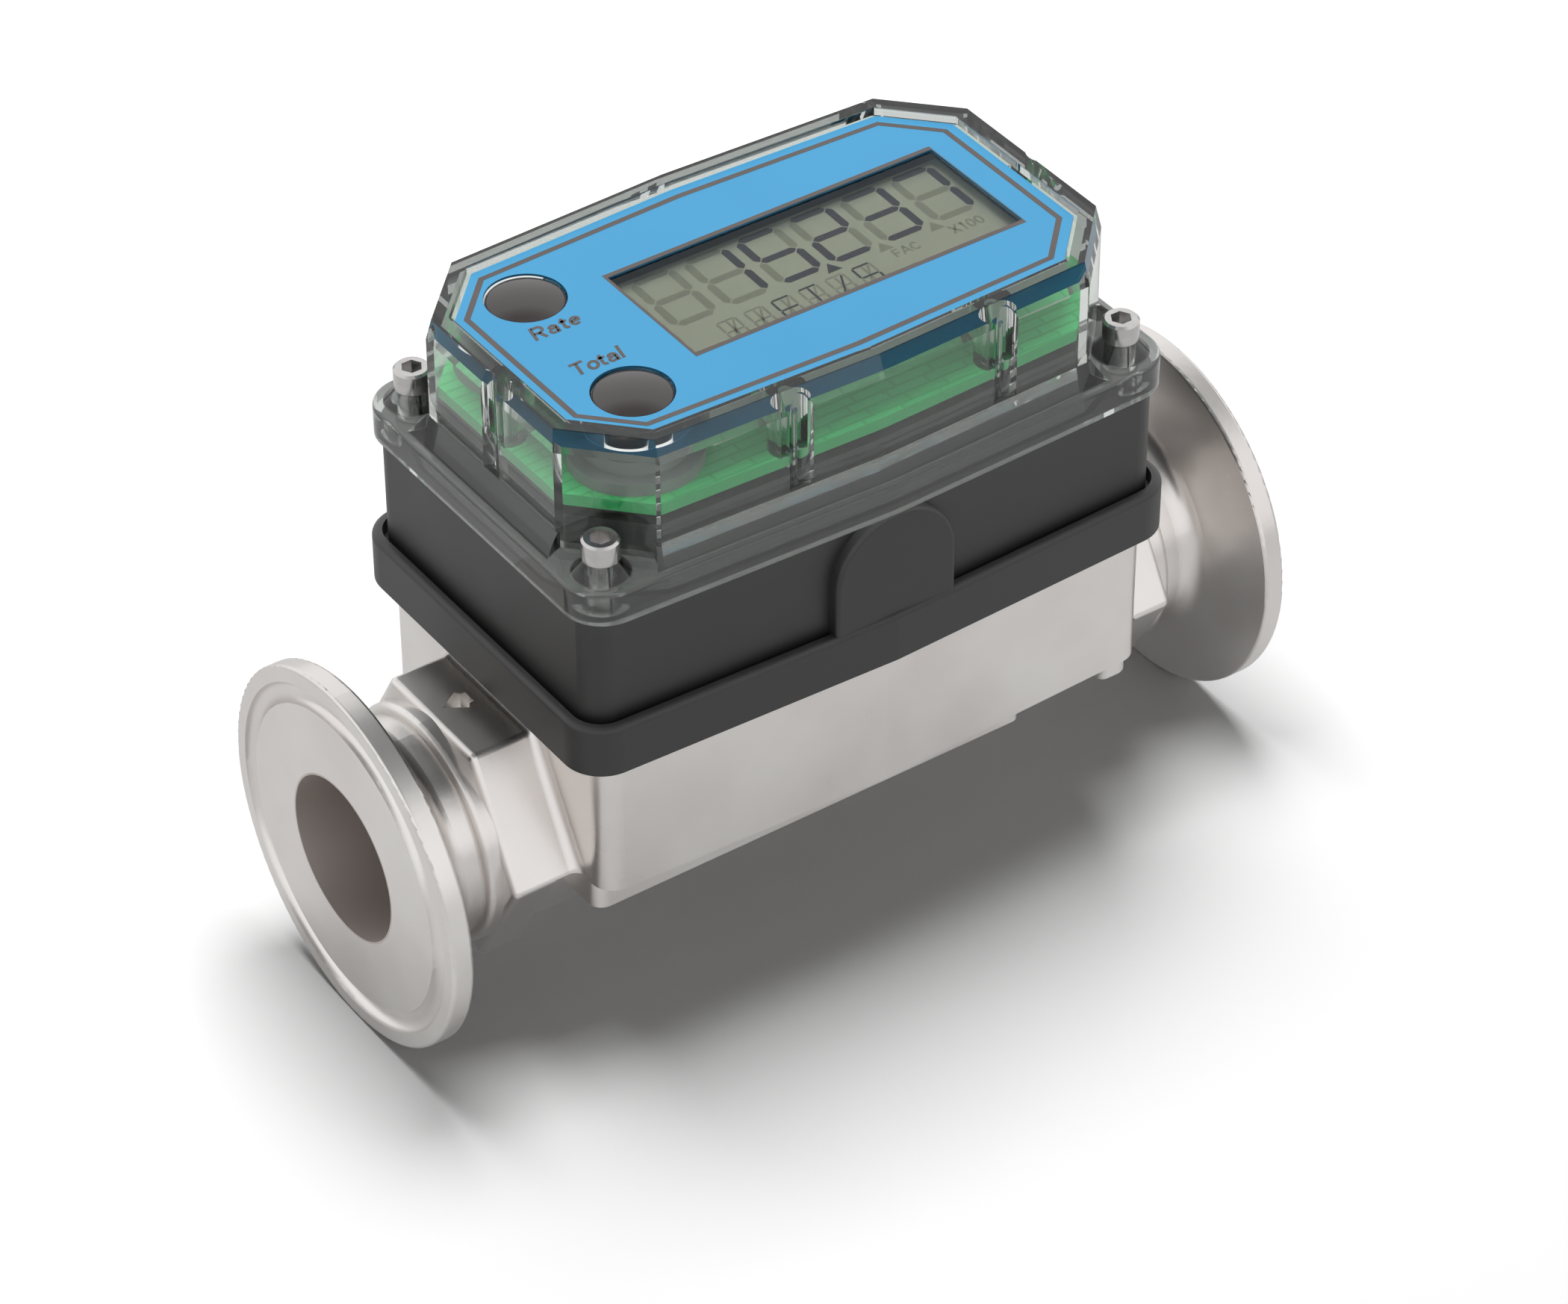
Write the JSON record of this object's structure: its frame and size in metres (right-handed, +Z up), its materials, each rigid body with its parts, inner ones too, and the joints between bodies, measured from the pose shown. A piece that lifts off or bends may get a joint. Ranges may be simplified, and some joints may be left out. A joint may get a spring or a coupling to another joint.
{
  "type": "turbine flow meter",
  "caption": "Inline turbine flow meter: cast steel pipe run with clamp ferrules, rotor in the bore, black electronics housing and clear cover over a display with push buttons.",
  "frame": {"origin": "under the middle of the pipe run, level with the lowest point of the ferrules", "axes": "+X along the flow from inlet to outlet, +Z up through the display"},
  "size_m": [0.127, 0.055, 0.0882],
  "materials": {
    "cast_steel": "satin",
    "support_plastic": "satin",
    "bearing_ceramic": "polished",
    "spring_steel": "satin",
    "rotor_plastic": "satin",
    "slug_steel": "satin",
    "shaft_carbide": "polished",
    "bobbin_plastic": "matt",
    "copper_winding": "lacquered wire",
    "gasket_rubber": "matt",
    "housing_plastic": "satin",
    "fastener_steel": "bright",
    "insert_brass": "knurled",
    "holder_plastic": "matt",
    "contact_nickel": "plated",
    "cell_steel": "printed sleeve",
    "board_laminate": "solder mask",
    "chip_plastic": "matt",
    "zebra_rubber": "matt",
    "frame_plastic": "matt",
    "display_glass": "polarised",
    "clear_plastic": "gloss",
    "label_film": "printed",
    "button_plastic": "gloss",
    "boot_silicone": "frosted",
    "switch_plastic": "matt"
  },
  "bodies": {
    "meter": {"meter_body": "cast_steel", "inlet_support": "support_plastic", "outlet_support": "support_plastic", "inlet_bearing": "bearing_ceramic", "outlet_bearing": "bearing_ceramic", "inlet_retaining_ring": "spring_steel", "outlet_retaining_ring": "spring_steel", "coil_bobbin": "bobbin_plastic", "coil_winding": "copper_winding", "coil_core": "slug_steel", "body_gasket": "gasket_rubber", "cover_gasket": "gasket_rubber", "housing": "housing_plastic", "housing_screws": "fastener_steel", "threaded_inserts": "insert_brass", "battery_holder": "holder_plastic", "battery_contacts": "contact_nickel", "battery_cell_a": "cell_steel", "battery_cell_b": "cell_steel", "circuit_board": "board_laminate", "board_screws": "fastener_steel", "controller_chip": "chip_plastic", "zebra_strips": "zebra_rubber", "lcd_frame": "frame_plastic", "lcd_glass": "display_glass", "cover": "clear_plastic", "cover_screws": "fastener_steel", "label": "label_film", "rate_boot": "boot_silicone", "total_boot": "boot_silicone", "rate_switch": "switch_plastic", "total_switch": "switch_plastic"},
    "rotor": {"rotor": "rotor_plastic", "rotor_slugs": "slug_steel", "rotor_shaft": "shaft_carbide"},
    "rate_button": {"rate_button": "button_plastic"},
    "total_button": {"total_button": "button_plastic"}
  },
  "joints": [
    {"name": "rotor_spin", "type": "hinge", "parent": "meter", "child": "rotor", "pos_m": [0, 0, 0.02525], "axis": [1, 0, 0], "continuous": true},
    {"name": "rate_button_press", "type": "slide", "parent": "meter", "child": "rate_button", "axis": [0, 0, -1], "range_m": [0, 0.0008], "stiffness_N_per_m": 1500, "deforming": ["rate_boot"]},
    {"name": "total_button_press", "type": "slide", "parent": "meter", "child": "total_button", "axis": [0, 0, -1], "range_m": [0, 0.0008], "stiffness_N_per_m": 1500, "deforming": ["total_boot"]}
  ]
}
